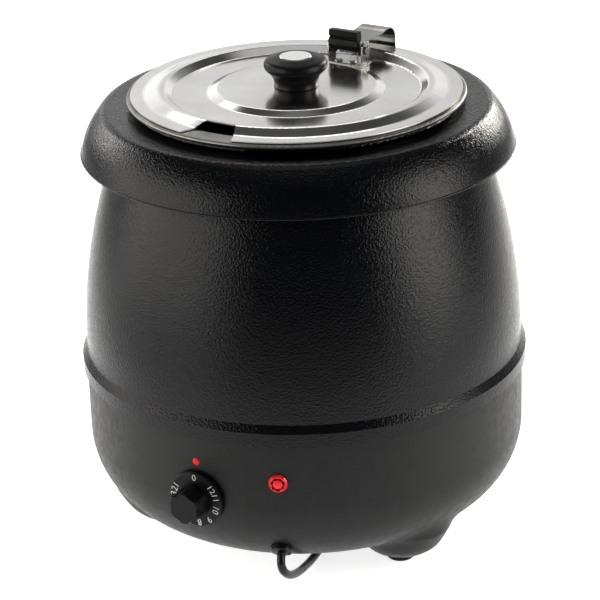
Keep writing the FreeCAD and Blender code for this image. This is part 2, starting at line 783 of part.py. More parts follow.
def thermal_cutout():
    can = rod(8.0, V(42, 0, PAN_BOTTOM_Z - 7), V(42, 0, PAN_BOTTOM_Z))
    base = rod(6.0, V(42, 0, PAN_BOTTOM_Z - 12), V(42, 0, PAN_BOTTOM_Z - 7))
    return turned(can.fuse(base).removeSplitter(), 150)


def sensing_bulb():
    """Sensing bulb held under the pan, with its capillary to the thermostat."""
    z = PAN_BOTTOM_Z - 3.0
    bulb = rod(3.0, V(30, -35, z), V(30, 25, z))
    line = rounded_edges([
        (V(30, 25, z), 0), (V(30, 37, z), 6), (V(44, 50, 62), 10), (V(100, 24, 62), 10),
        (V(112, 4, 80), 8), (V(126, 4, 80), 0),
    ], False)
    return turned(bulb.fuse(tube(line, 0.8)), DIAL_AZIMUTH)


def terminal_block():
    """Three-way terminal block on the bowl's floor."""
    floor = BOWL_FLOOR_Z + BOWL_WALL
    body = block((70, -21, floor), (88, 21, floor + 16))
    for y in (-13.0, 0.0, 13.0):
        body = body.cut(rod(2.6, V(79, y, floor + 5), V(79, y, floor + 20)))
        body = body.cut(rod(2.0, V(60, y, floor + 6), V(100, y, floor + 6)))
    return turned(body, 35)


# Cord


def cord_gland():
    """Strain-relief bush: shank through the wall and a tapered head outside."""
    seat, way = gland_axis()
    shape = revolved(outline([
        (0, -GLAND_SHANK_L), (GLAND_SHANK_R, -GLAND_SHANK_L, 0.8), (GLAND_SHANK_R, 0), (GLAND_HEAD_R, 0),
        (GLAND_HEAD_R, 1.5, 0.4), (7.2, 1.8), (7.2, 2.2), (GLAND_HEAD_R - 0.1, 2.4, 0.3),
        (GLAND_HEAD_R - 0.3, 3.8, 0.8), (5.0, GLAND_HEAD_H), (0, GLAND_HEAD_H),
    ]))
    shape.Placement = FreeCAD.Placement(seat, FreeCAD.Rotation(UP, way))
    return turned(shape, GLAND_AZIMUTH)


def beyond_gland(distance):
    """Point on the gland's axis at a distance from the end of its head."""
    seat, way = gland_axis()
    return turned(Part.Vertex(seat + way * (GLAND_HEAD_H + distance)), GLAND_AZIMUTH).Point


def coil_point(turn):
    """Middle of the cord in the coil after a number of turns: in, up a layer, out again."""
    low, high = COIL_LAYER_Z
    climb = turn - COIL_TURNS
    if climb <= 0:
        radius, z = COIL_INNER_R - climb * COIL_PITCH, low
    elif climb >= 0.5:
        flare = max(turn - COIL_END + 0.5, 0) / 0.5
        radius, z = COIL_INNER_R + (climb - 0.5) * COIL_PITCH + COIL_FLARE * flare ** 2, high
    else:
        radius = COIL_INNER_R - COIL_PITCH / (2 * math.pi) * math.sin(2 * math.pi * climb)
        z = low + (high - low) * (1 - math.cos(2 * math.pi * climb)) / 2
    angle = 2 * math.pi * turn
    return V(COIL_CENTRE[0] + radius * math.cos(angle), COIL_CENTRE[1] + radius * math.sin(angle), z)


def coil_edges():
    edges, first, last = winding(coil_point, 0, COIL_END, 0.25)
    lead = 2 * CORD_R
    start, end = coil_point(0) - first * lead, coil_point(COIL_END) + last * lead
    head = Part.LineSegment(start, coil_point(0)).toShape()
    tail = Part.LineSegment(coil_point(COIL_END), end).toShape()
    return [head, *edges, tail], start, end, last


def cord_coil():
    edges = coil_edges()[0]
    points = [coil_point(i / 72) for i in range(round(COIL_END * 72) + 1)]
    gaps = [a.distanceToPoint(b) for i, a in enumerate(points) for b in points[i + 30:]]
    print("coil: least gap to itself %.2f mm" % (min(gaps) - 2 * CORD_R))
    return measured_tube("coil", edges)


def measured_tube(name, edges):
    """Cord tube whose volume is compared with its section times its length."""
    shape = tube(edges, CORD_R)
    length = sum(e.Length for e in edges)
    ratio = shape.Volume / (math.pi * CORD_R ** 2 * length)
    print("%s: length %.0f mm, volume over section times length %.4f" % (name, length, ratio))
    return shape


def cord_run():
    """Free stretch of the cord, from the gland down to the floor and back to the coil."""
    _, coil_start, _, _ = coil_edges()
    lead_in = coil_start + (coil_start - coil_point(0)).normalize() * 14.0
    route = [V(*p) for p in CORD_ROUTE]
    points = [beyond_gland(0), beyond_gland(4.5), *route, lead_in, coil_start]
    corners = [(points[0], 0)]
    for before, point, after in zip(points, points[1:], points[2:]):
        half = (point - before).getAngle(after - point) / 2
        run = min(before.distanceToPoint(point), point.distanceToPoint(after))
        corners.append((point, 0.45 * run / math.tan(half)))
    corners.append((points[-1], 0))
    print("cord radii:", ", ".join("%.1f" % radius for _, radius in corners[1:-1]))
    return measured_tube("run", rounded_edges(corners, False))


def cord_tie():
    """Strap round the turns of the coil where two layers lie straight above each other."""
    inner = COIL_INNER_R + 0.25 * COIL_PITCH - CORD_R - 0.7
    outer = COIL_INNER_R + (COIL_TURNS - 0.75) * COIL_PITCH + CORD_R + 0.7
    low, high = COIL_LAYER_Z[0] - CORD_R, COIL_LAYER_Z[1] + CORD_R
    corners = [(inner, low), (outer, low), (outer, high), (inner, high)]
    hole = outline([(x, z, 1.2) for x, z in corners])
    middle = ((inner + outer) / 2, (low + high) / 2)
    band = outline([
        (x + math.copysign(TIE_STRAP, x - middle[0]), z + math.copysign(TIE_STRAP, z - middle[1]), 2.0)
        for x, z in corners
    ])
    ring = extruded(band, -4, 4).cut(extruded(hole, -4, 4))
    ring.rotate(ORIGIN, UP, 270)
    ring.translate(V(*COIL_CENTRE, 0))
    return ring


def at_plug(shape):
    """A shape built with +X along the plug, set on the end of the coil."""
    _, _, end, way = coil_edges()
    copy = shape.copy()
    copy.rotate(ORIGIN, UP, math.degrees(math.atan2(way.y, way.x)))
    copy.translate(end)
    return copy


def plug_body():
    """Moulded plug: ribbed taper for the cord and a body that narrows towards it."""
    taper = Part.makeCone(4.6, 6.6, 16, ORIGIN, OUT)
    for x in (4.0, 8.0, 12.0):
        ring = Part.makeCylinder(8, 1.4, OUT * x, OUT)
        taper = taper.cut(ring.cut(Part.makeCylinder(4.4, 1.4, OUT * x, OUT)))
    sections = [plug_section(16, 8.0, 7.5), plug_section(26, 12.0, 10.0), plug_section(46, 13.0, PLUG_HALF_H)]
    body = Part.makeLoft(sections, True, True)
    return at_plug(taper.fuse(body).removeSplitter())


def plug_section(x, half_width, half_height):
    """Rounded rectangle across the plug."""
    corner = 4.0
    points = [(-half_width, -half_height), (half_width, -half_height),
              (half_width, half_height), (-half_width, half_height)]
    return Part.Wire(rounded_edges([(V(x, y, z), corner) for y, z in points], True))


def plug_pins():
    """Two flat blades and a round earth pin."""
    face = 46.0
    blades = [block((face, y - 0.75, -0.4), (face + 17, y + 0.75, 5.9)) for y in (-6.35, 6.35)]
    earth = rod(2.4, V(face, 0, -6.4), V(face + 20, 0, -6.4))
    return Part.makeCompound([at_plug(p) for p in (*blades, earth)])


def jacket_drilled():
    return drilled(jacket(), collar_screw_holes())


def collar_drilled():
    return drilled(collar(), collar_screw_holes())


NODES = {
    "base_bowl": base_bowl,
    "foot_pads": foot_pads,
    "foot_screws": foot_screws,
    "jacket": jacket_drilled,
    "collar": collar_drilled,
    "collar_screws": collar_screws,
    "water_pan": water_pan,
    "heater": heater,
    "heater_clamp": heater_clamp,
    "tie_stud": tie_stud,
    "tie_nuts": tie_nuts,
    "thermostat": thermostat,
    "thermostat_screws": thermostat_screws,
    "sensing_bulb": sensing_bulb,
    "thermal_cutout": thermal_cutout,
    "terminal_block": terminal_block,
    "lamp_lens": lamp_lens,
    "lamp_holder": lamp_holder,
    "index_dot": index_dot,
    "cord_gland": cord_gland,
    "cord_run": cord_run,
    "cord_coil": cord_coil,
    "cord_tie": cord_tie,
    "plug_body": plug_body,
    "plug_pins": plug_pins,
    "pot_floor": pot_floor,
    "pot_wall": pot_wall,
    "pot_rim": pot_rim,
    "lid": lid,
    "lid_knob": lid_knob,
    "knob_cap": knob_cap,
    "knob_screw": knob_screw,
    "hinge_bracket": hinge_bracket,
    "bracket_rivets": bracket_rivets,
    "hinge_pin": hinge_pin,
    "clip_spring": clip_spring,
    "hinge_clip": hinge_clip,
    "thumb_grip": thumb_grip,
    "thermostat_dial": thermostat_dial,
    "thermostat_shaft": thermostat_shaft,
}


def main():
    os.makedirs("parts", exist_ok=True)
    for name, make in NODES.items():
        shape = make()
        if not shape.isValid() or not shape.Solids:
            raise RuntimeError("%s is not a valid solid" % name)
        shape.exportStep("parts/%s.step" % name)


main()
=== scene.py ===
import logging
import math
from dataclasses import dataclass
from enum import Enum
from functools import lru_cache
from typing import ClassVar, Iterable, Optional, Protocol, Sequence

import bmesh
import bpy
from mathutils import Matrix, Vector


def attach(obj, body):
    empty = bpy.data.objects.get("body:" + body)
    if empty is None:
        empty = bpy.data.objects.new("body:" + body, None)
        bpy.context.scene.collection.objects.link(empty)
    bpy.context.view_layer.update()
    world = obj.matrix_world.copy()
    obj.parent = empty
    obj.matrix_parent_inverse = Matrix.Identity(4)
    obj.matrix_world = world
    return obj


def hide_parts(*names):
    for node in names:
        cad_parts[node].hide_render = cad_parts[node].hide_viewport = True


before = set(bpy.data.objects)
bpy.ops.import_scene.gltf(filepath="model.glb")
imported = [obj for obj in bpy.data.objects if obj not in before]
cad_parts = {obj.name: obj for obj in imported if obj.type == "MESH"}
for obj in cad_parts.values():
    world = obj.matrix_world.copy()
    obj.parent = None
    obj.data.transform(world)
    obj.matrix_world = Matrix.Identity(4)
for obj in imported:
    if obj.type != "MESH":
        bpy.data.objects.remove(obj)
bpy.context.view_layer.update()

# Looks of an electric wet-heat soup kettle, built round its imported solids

MM = 0.001
CAMERA_AZIMUTH = 18.1
LAMP_TINT = (1.0, 0.965, 0.92)
LAMP_AIM = (0.0, 0.0, 0.2)
WHITE = (1.0, 1.0, 1.0, 1.0)
HALF_TURN = 0.5
LOG = logging.getLogger("kettle")

Colour = tuple[float, float, float]
Socket = bpy.types.NodeSocket


class Body(Enum):
    """Rigid bodies that pieces ride on."""

    KETTLE = "kettle"
    DIAL = "dial"


class Grain(Enum):
    """How a surface is textured: its cells' size against the grain, and their weight."""

    HAMMERED = (1.4, 0.9)
    LEATHERED = (1.0, 1.5)
    MOULDED = (1.0, 0.0)


class Marks(Enum):
    """How a metal surface was polished."""

    ROUND = "round"
    STRAIGHT = "straight"


class Board:
    """A node tree with short methods for the nodes used here."""

    def __init__(self, tree: bpy.types.NodeTree, place: str) -> None:
        """Start on a node tree.

        Args:
            tree: Node tree of a material or a world.
            place: Name of the texture coordinate that the patterns follow.
        """
        self.tree = tree
        self.place = self.node("ShaderNodeTexCoord").outputs[place]

    def node(self, kind: str, **inputs: object) -> bpy.types.Node:
        """Add a node and set or link its inputs.

        Args:
            kind: Blender's node type.
            inputs: Values or output sockets by input name, with _ for a blank.

        Returns:
            The new node.
        """
        made = self.tree.nodes.new(kind)
        for key, value in inputs.items():
            self.plug(made.inputs[key.replace("_", " ")], value)
        return made

    def plug(self, socket: Socket, value: object) -> None:
        """Set a socket to a value, or link it to an output.

        Args:
            socket: Input to fill.
            value: A plain value or an output socket.
        """
        if isinstance(value, Socket):
            self.tree.links.new(value, socket)
        else:
            socket.default_value = value

    def maths(self, operation: str, *values: object) -> Socket:
        """Join values by one operation.

        Args:
            operation: Blender's name of the operation.
            values: Plain values or output sockets.

        Returns:
            The result's socket.
        """
        made = self.tree.nodes.new("ShaderNodeMath")
        made.operation = operation
        for socket, value in zip(made.inputs, values):
            self.plug(socket, value)
        return made.outputs["Value"]

    def along(self, way: Sequence[float]) -> Socket:
        """Measure how far a place lies along a direction.

        Args:
            way: The direction.

        Returns:
            The distance's socket.
        """
        made = self.tree.nodes.new("ShaderNodeVectorMath")
        made.operation = "DOT_PRODUCT"
        self.plug(made.inputs[0], self.place)
        self.plug(made.inputs[1], tuple(way))
        return made.outputs["Value"]

    def hypot(self, one: Socket, other: Socket) -> Socket:
        """Measure the length of a flat vector.

        Args:
            one: Its first part.
            other: Its second part.

        Returns:
            The length's socket.
        """
        square = self.maths("MULTIPLY_ADD", one, one, self.maths("MULTIPLY", other, other))
        return self.maths("SQRT", square)

    def noise(
        self, size_mm: float, detail: float = 2.0, stretch: Optional[Sequence[float]] = None
    ) -> Socket:
        """Return noise whose features are about a given size.

        Args:
            size_mm: Feature size.
            detail: Number of finer layers.
            stretch: Factors on the three coordinates.

        Returns:
            The noise value socket.
        """
        place = self.place
        if stretch:
            place = self.node("ShaderNodeMapping", Vector=place, Scale=tuple(stretch)).outputs["Vector"]
        made = self.node("ShaderNodeTexNoise", Vector=place, Scale=1 / (size_mm * MM), Detail=detail)
        return made.outputs["Fac"]

    def cells(self, size_mm: float) -> Socket:
        """Make the distance field of rounded cells.

        Args:
            size_mm: Size of a cell, about.

        Returns:
            The distance's socket.
        """
        made = self.node("ShaderNodeTexVoronoi", Vector=self.place, Scale=1 / (size_mm * MM))
        made.feature = "SMOOTH_F1"
        return made.outputs["Distance"]

    def ramp(self, value: Socket, stops: Iterable[tuple[float, Colour]]) -> Socket:
        """Pick colours by a value.

        Args:
            value: Value that picks.
            stops: Values with their colours, in order.

        Returns:
            The colour's socket.
        """
        made = self.node("ShaderNodeValToRGB", Fac=value)
        elements = made.color_ramp.elements
        for i, (at, colour) in enumerate(stops):
            element = elements[i] if i < len(elements) else elements.new(at)
            element.position = at
            element.color = (*colour, 1.0)
        return made.outputs["Color"]

    def between(self, value: Socket, start: float, end: float, low: float, high: float) -> Socket:
        """Return a value spread smoothly from one range to another.

        Args:
            value: Value to spread.
            start: Value that becomes the low one.
            end: Value that becomes the high one.
            low: Result at the start.
            high: Result at the end.

        Returns:
            The result's socket.
        """
        made = self.node("ShaderNodeMapRange")
        made.interpolation_type = "SMOOTHSTEP"
        for socket, given in zip(made.inputs, (value, start, end, low, high)):
            self.plug(socket, given)
        return made.outputs["Result"]


class Surface(Board):
    """A material with one shader."""

    def __init__(self, name: str) -> None:
        """Start a material.

        Args:
            name: Name of the new material.
        """
        self.material = bpy.data.materials.new(name)
        self.material.use_nodes = True
        super().__init__(self.material.node_tree, "Object")
        self.shader = self.tree.nodes["Principled BSDF"]

    def feed(self, **inputs: object) -> None:
        """Set or link inputs of the shader.

        Args:
            inputs: Values or output sockets by input name, with _ for a blank.
        """
        for key, value in inputs.items():
            self.plug(self.shader.inputs[key.replace("_", " ")], value)

    def bump(self, height: Socket, depth_mm: float) -> None:
        """Give the shader a relief.

        Args:
            height: Socket of the height pattern.
            depth_mm: Depth of the relief.
        """
        made = self.node("ShaderNodeBump", Height=height, Distance=depth_mm * MM, Strength=1.0)
        self.feed(Normal=made.outputs["Normal"])


class Finish(Protocol):
    """Anything that can make a material."""

    name: str

    def material(self) -> bpy.types.Material:
        """Return the finished material."""


@dataclass(frozen=True)
class GrainedFinish:
    """Coat, plastic or rubber with a grain."""

    name: str
    grain: Grain
    dark: Colour
    light: Colour
    rough: tuple[float, float]
    size_mm: float
    depth_mm: float
    shine: float = 0.5
    cloud_mm: ClassVar[float] = 40.0
    rub_mm: ClassVar[float] = 6.0

    def material(self) -> bpy.types.Material:
        """Make the finish.

        Returns:
            The finished material.
        """
        surface = Surface(self.name)
        relief = surface.noise(self.size_mm)
        ratio, weight = self.grain.value
        if weight:
            relief = surface.maths("MULTIPLY_ADD", surface.cells(self.size_mm * ratio), weight, relief)
        cloud = surface.noise(self.cloud_mm, 4.0)
        rub = surface.noise(self.rub_mm, 3.0)
        surface.feed(
            Base_Color=surface.ramp(cloud, ((0.35, self.dark), (0.7, self.light))),
            Roughness=surface.between(rub, 0.3, 0.7, *self.rough),
            Specular_IOR_Level=self.shine,
        )
        surface.bump(relief, self.depth_mm)
        return surface.material


@dataclass(frozen=True)
class MetalFinish:
    """Bare metal with polishing marks."""

    name: str
    dark: Colour
    light: Colour
    rough: tuple[float, float]
    marks: Marks = Marks.STRAIGHT
    depth_mm: float = 0.004
    rings_per_metre: ClassVar[float] = 180.0
    line_mm: ClassVar[float] = 1.5
    line_stretch: ClassVar[tuple[float, float, float]] = (1.0, 0.05, 1.0)
    haze_mm: ClassVar[float] = 18.0
    cloud_mm: ClassVar[float] = 30.0

    def material(self) -> bpy.types.Material:
        """Make the finish.

        Returns:
            The finished material.
        """
        surface = Surface(self.name)
        if self.marks is Marks.ROUND:
            radius = surface.hypot(surface.along((1, 0, 0)), surface.along((0, 1, 0)))
            rings = surface.node("ShaderNodeTexNoise", Detail=4.0)
            rings.noise_dimensions = "1D"
            surface.plug(rings.inputs["W"], surface.maths("MULTIPLY", radius, self.rings_per_metre))
            marks = rings.outputs["Fac"]
        else:
            marks = surface.noise(self.line_mm, 3.0, self.line_stretch)
        mixed = surface.maths("ADD", marks, surface.noise(self.haze_mm, 3.0))
        cloud = surface.noise(self.cloud_mm, 3.0)
        surface.feed(
            Metallic=1.0,
            Base_Color=surface.ramp(cloud, ((0.3, self.dark), (0.7, self.light))),
            Roughness=surface.between(mixed, 0.7, 1.3, *self.rough),
        )
        surface.bump(marks, self.depth_mm)
        return surface.material


@dataclass(frozen=True)
class LensFinish:
    """Clear red plastic whose facets round the pilot lamp's axis are painted in its colour as shaded and
    lit wedges, not built in its form.
    """

    name: str
    painted_facet_shade: Colour
    bright: Colour
    azimuth: float
    height: float
    facets: int
    groove_start: ClassVar[tuple[float, float]] = (3.3, 3.6)
    groove_end: ClassVar[tuple[float, float]] = (5.2, 5.6)
    facet_edge: ClassVar[float] = 0.4
    facet_least: ClassVar[float] = 0.25
    rough: ClassVar[tuple[float, float]] = (0.06, 0.16)

    def material(self) -> bpy.types.Material:
        """Make the finish.

        Returns:
            The finished material.
        """
        surface = Surface(self.name)
        a = math.radians(self.azimuth)
        across = surface.along((math.cos(a), math.sin(a), 0))
        up = surface.maths("SUBTRACT", surface.along((0, 0, 1)), self.height * MM)
        angle = surface.maths("ARCTAN2", up, across)
        wedge = surface.maths("SINE", surface.maths("MULTIPLY", angle, float(self.facets)))
        radius = surface.hypot(across, up)
        start, end = (
            surface.between(radius, near * MM, far * MM, 0.0, 1.0)
            for near, far in (self.groove_start, self.groove_end)
        )
        groove = surface.maths("SUBTRACT", start, end)
        # Painted shade: in the band between the groove radii, wedges round the axis darken by turns
        # towards the shade colour, standing in for facets catching light
        wedge_shade = surface.between(wedge, -self.facet_edge, self.facet_edge, self.facet_least, 1.0)
        dark = surface.maths("MULTIPLY", groove, wedge_shade)
        surface.feed(
            Base_Color=surface.ramp(dark, ((0.0, self.bright), (1.0, self.painted_facet_shade))),
            Roughness=surface.between(surface.noise(2.0), 0.3, 0.7, *self.rough),
            Coat_Weight=0.5,
        )
        return surface.material


COAT = GrainedFinish("hammered_coat", Grain.HAMMERED, (0.0012, 0.0022, 0.0045), (0.0025, 0.0036, 0.006),
                     (0.1, 0.17), 1.05, 0.27)
BASE = GrainedFinish("base_moulding", Grain.LEATHERED, (0.0085, 0.0088, 0.0088), (0.0135, 0.0138, 0.0138),
                     (0.32, 0.42), 0.9, 0.1)
KNOB = GrainedFinish("knob_satin", Grain.MOULDED, (0.007, 0.007, 0.0075), (0.011, 0.011, 0.0115),
                     (0.34, 0.44), 1.2, 0.02)
GRIP = GrainedFinish("grip_satin", Grain.MOULDED, (0.006, 0.006, 0.0065), (0.01, 0.01, 0.011),
                     (0.32, 0.45), 0.8, 0.02, shine=0.35)
DIAL = GrainedFinish("dial_satin", Grain.MOULDED, (0.008, 0.008, 0.0085), (0.012, 0.012, 0.013),
                     (0.36, 0.46), 0.7, 0.01, shine=0.35)
RUBBER = GrainedFinish("pad_rubber", Grain.MOULDED, (0.008, 0.008, 0.008), (0.014, 0.014, 0.014),
                       (0.55, 0.75), 0.9, 0.03)
PLUG = GrainedFinish("plug_rubber", Grain.MOULDED, (0.01, 0.01, 0.01), (0.018, 0.018, 0.018),
                     (0.45, 0.6), 0.9, 0.03)
SHEATH = GrainedFinish("cord_sheath", Grain.MOULDED, (0.006, 0.006, 0.006), (0.01, 0.01, 0.01),
                       (0.22, 0.34), 1.5, 0.02)
BUSH = GrainedFinish("gland_nylon", Grain.MOULDED, (0.004, 0.004, 0.004), (0.008, 0.008, 0.008),
                     (0.16, 0.26), 1.2, 0.01)
NYLON = GrainedFinish("white_nylon", Grain.MOULDED, (0.55, 0.53, 0.48), (0.66, 0.64, 0.6),
                      (0.4, 0.55), 1.0, 0.02)
PHENOLIC = GrainedFinish("brown_phenolic", Grain.MOULDED, (0.14, 0.08, 0.04), (0.2, 0.12, 0.07),
                         (0.35, 0.5), 1.0, 0.02)
FIGURES = GrainedFinish("pale_figures", Grain.MOULDED, (0.75, 0.75, 0.73), (0.85, 0.85, 0.83),
                        (0.45, 0.6), 0.6, 0.002)
ENAMEL = GrainedFinish("red_enamel", Grain.MOULDED, (0.85, 0.01, 0.012), (0.95, 0.016, 0.018),
                       (0.2, 0.3), 0.8, 0.01)
MIRROR = MetalFinish("polished_stainless", (0.67, 0.66, 0.65), (0.75, 0.745, 0.735),
                     (0.13, 0.19), Marks.ROUND, 0.0012)
SATIN = MetalFinish("satin_stainless", (0.46, 0.455, 0.445), (0.56, 0.555, 0.545), (0.18, 0.3))
ROLLED = MetalFinish("rolled_stainless", (0.3, 0.3, 0.29), (0.4, 0.4, 0.39), (0.42, 0.52))
SPRUNG = MetalFinish("spring_steel", (0.27, 0.268, 0.262), (0.36, 0.357, 0.35), (0.16, 0.26))
ZINC = MetalFinish("zinc_plate", (0.42, 0.42, 0.4), (0.56, 0.56, 0.53), (0.25, 0.45))
CAP = MetalFinish("bright_cap", (0.82, 0.82, 0.81), (0.9, 0.9, 0.89), (0.12, 0.22), Marks.ROUND)
BRASS = MetalFinish("bright_brass", (0.62, 0.45, 0.18), (0.75, 0.58, 0.28), (0.2, 0.35))
COPPER = MetalFinish("drawn_copper", (0.6, 0.28, 0.15), (0.72, 0.38, 0.22), (0.25, 0.4))
TINTED = MetalFinish("heater_sheath", (0.16, 0.14, 0.13), (0.3, 0.27, 0.24), (0.35, 0.55))
LENS = LensFinish("lamp_lens_red", (0.1, 0.003, 0.004), (0.95, 0.016, 0.026), 10.6, 107.5, 7)


@lru_cache(maxsize=None)
def material_of(finish: Finish) -> bpy.types.Material:
    """Return a finish's material, made once."""
    return finish.material()


def link(name: str, data: bpy.types.ID) -> bpy.types.Object:
    """Put data into the scene.

    Args:
        name: Name of the new object.
        data: Mesh, curve, lamp or camera that it shows.

    Returns:
        The new object.
    """
    made = bpy.data.objects.new(name, data)
    bpy.context.scene.collection.objects.link(made)
    return made


def settle(piece: bpy.types.Object, body: Body, finish: Finish) -> None:
    """Dress a piece and let it ride on a body.

    Args:
        piece: The new piece, in place.
        body: Body that it moves with.
        finish: How it looks.
    """
    piece.data.materials.clear()
    piece.data.materials.append(material_of(finish))
    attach(piece, body.value)
    LOG.info("%s rides on %s", piece.name, body.value)


def blended(one: float, other: float, width: float) -> float:
    """Join two forms by their gaps, with a rounded hollow between them.

    Args:
        one: Gap to the first form.
        other: Gap to the second form.
        width: How near the gaps come before the hollow starts.

    Returns:
        The gap to both.
    """
    near = max(width - abs(one - other), 0.0)
    return min(one, other) - near * near / (4 * width)


def sheet_mesh(name: str, rows: Sequence[Sequence[Vector]], closed: bool) -> bpy.types.Mesh:
    """Return a smooth mesh through rows of points in millimetres.

    Args:
        name: Name of the mesh.
        rows: Rows of equally many points.
        closed: Whether rows and columns run round and meet again.

    Returns:
        The new mesh.
    """
    count, wide = len(rows), len(rows[0])
    faces = []
    for i in range(count if closed else count - 1):
        for j in range(wide if closed else wide - 1):
            k, m = (i + 1) % count, (j + 1) % wide
            faces.append((i * wide + j, i * wide + m, k * wide + m, k * wide + j))
    mesh = bpy.data.meshes.new(name)
    mesh.from_pydata([point * MM for row in rows for point in row], [], faces)
    mesh.polygons.foreach_set("use_smooth", [True] * len(faces))
    return mesh


class Assembly:
    """A group of solids that stay in view, each with its finish."""

    wears: ClassVar[dict[Finish, tuple[str, ...]]] = {}

    def dress(self) -> None:
        """Give every solid its finish."""
        for finish, nodes in self.wears.items():
            for node in nodes:
                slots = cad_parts[node].data.materials
                slots.clear()
                slots.append(material_of(finish))
            LOG.info("%s on %s", finish.name, ", ".join(nodes))

    def build(self) -> None:
        """Make the pieces that the solids lack."""


@dataclass(frozen=True)
class Bowl:
    """Outer form of the moulded base bowl."""

    radius: float = 167.3
    corner: float = 60.0
    floor: float = 25.5

    def gap(self, r: float, z: float) -> float:
        """Measure how far a point lies outside the bowl.

        Args:
            r: Distance from the kettle's axis.
            z: Height.

        Returns:
            The gap in millimetres, below zero when inside.
        """
        out, up = r - self.radius + self.corner, z - self.floor - self.corner
        if up >= 0:
            return r - self.radius
        return math.hypot(out, up) - self.corner if out > 0 else self.floor - z


BOWL = Bowl()


@dataclass(frozen=True)
class FootFlare:
    """Leaning form that runs a foot's boss smoothly into the bowl's side.

    Lengths are in millimetres. Radii and the lean grow with height and level off: each rise
    is the height over which most of that happens.
    """

    circle: float = 108.5
    bottom: float = 5.8
    top: float = 64.0
    boss_radius: float = 36.0
    boss_taper: float = 22.5
    boss_rise: float = 9.0
    lean: float = 28.0
    lean_rise: float = 18.0
    radius: float = 19.5
    taper: float = 7.7
    rise: float = 10.0
    fade_from: float = 34.0
    fade_rate: float = 0.5
    bowl_blend: float = 16.0
    boss_blend: float = 7.0
    blend_delay: float = 0.3
    blend_least: float = 0.01
    levels: int = 48
    rays: int = 72
    halvings: int = 24
    sweep: float = 115.0
    reach: float = 60.0
    proud: float = 0.03
    sunk: float = 0.2
    wall: float = 1.5

    def remaining(self, z: float, rise: float) -> float:
        """Return the share of a change still to come: one at the bottom, near zero high up."""
        return math.exp((self.bottom - z) / rise)

    def middle(self, z: float) -> float:
        """Return how far out the flare's middle stands at a height."""
        return self.circle + self.lean * (1 - self.remaining(z, self.lean_rise))

    def boss_gap(self, x: float, y: float, z: float) -> float:
        """Measure how far a point lies outside the foot's own boss.

        Args:
            x: Distance from the kettle's axis towards the foot.
            y: Distance to the side.
            z: Height.

        Returns:
            The gap, below zero when inside.
        """
        wide = self.boss_radius - self.boss_taper * self.remaining(z, self.boss_rise)
        return math.hypot(x - self.circle, y) - wide

    def solid_gap(self, x: float, y: float, z: float) -> float:
        """Return how far a point near the foot lies outside the bowl and its boss."""
        return min(BOWL.gap(math.hypot(x, y), z), self.boss_gap(x, y, z))

    def gap(self, x: float, y: float, z: float) -> float:
        """Measure how far a point lies outside bowl and boss with the flare blended in.

        Args:
            x: Distance from the kettle's axis towards the foot.
            y: Distance to the side.
            z: Height.

        Returns:
            The gap, below zero when inside.
        """
        wide = self.radius - self.taper * self.remaining(z, self.rise)
        fade = self.fade_rate * max(z - self.fade_from, 0.0)
        flare = math.hypot(x - self.middle(z), y) - wide + fade
        bowl = BOWL.gap(math.hypot(x, y), z)
        share = (z - self.bottom) / self.boss_rise - self.blend_delay
        boss_blend = self.boss_blend * min(max(share, self.blend_least), 1.0)
        return blended(blended(flare, bowl, self.bowl_blend), self.boss_gap(x, y, z), boss_blend)

    def edge(self, z: float, angle: float) -> Vector:
        """Find where a level ray from the flare's middle leaves the form.

        Args:
            z: Height of the ray.
            angle: Its direction, zero being straight out.

        Returns:
            The point in the foot's own frame.
        """
        way = Vector((math.cos(angle), math.sin(angle), 0))
        start = Vector((self.middle(z), 0, z))
        low, high = 0.0, self.reach
        for _ in range(self.halvings):
            step = (low + high) / 2
            if self.gap(*(start + way * step)) < 0:
                low = step
            else:
                high = step
        return start + way * low

    def mesh(self, azimuth: float) -> bpy.types.Mesh:
        """Make the skin of one flare.

        Args:
            azimuth: Degrees of the foot, right of the front.

        Returns:
            The new mesh, cut to where it stands proud of the solids.
        """
        sweep = math.radians(self.sweep)
        rows = []
        for i in range(self.levels):
            z = self.bottom + (self.top - self.bottom) * (i + 0.5) / self.levels
            rows.append([self.edge(z, sweep * (2 * j / (self.rays - 1) - 1)) for j in range(self.rays)])
        flush = []
        for row in rows:
            for point in row:
                flush.append(self.solid_gap(*point) < self.proud)
                if flush[-1]:
                    point.x -= self.sunk
        turn = Matrix.Rotation(math.radians(azimuth - 90), 3, "Z")
        mesh = sheet_mesh("foot_flare", [[turn @ point for point in row] for row in rows], False)
        form = bmesh.new()
        form.from_mesh(mesh)
        hidden = [face for face in form.faces if all(flush[corner.index] for corner in face.verts)]
        bmesh.ops.delete(form, geom=hidden, context="FACES")
        form.to_mesh(mesh)
        form.free()
        return mesh


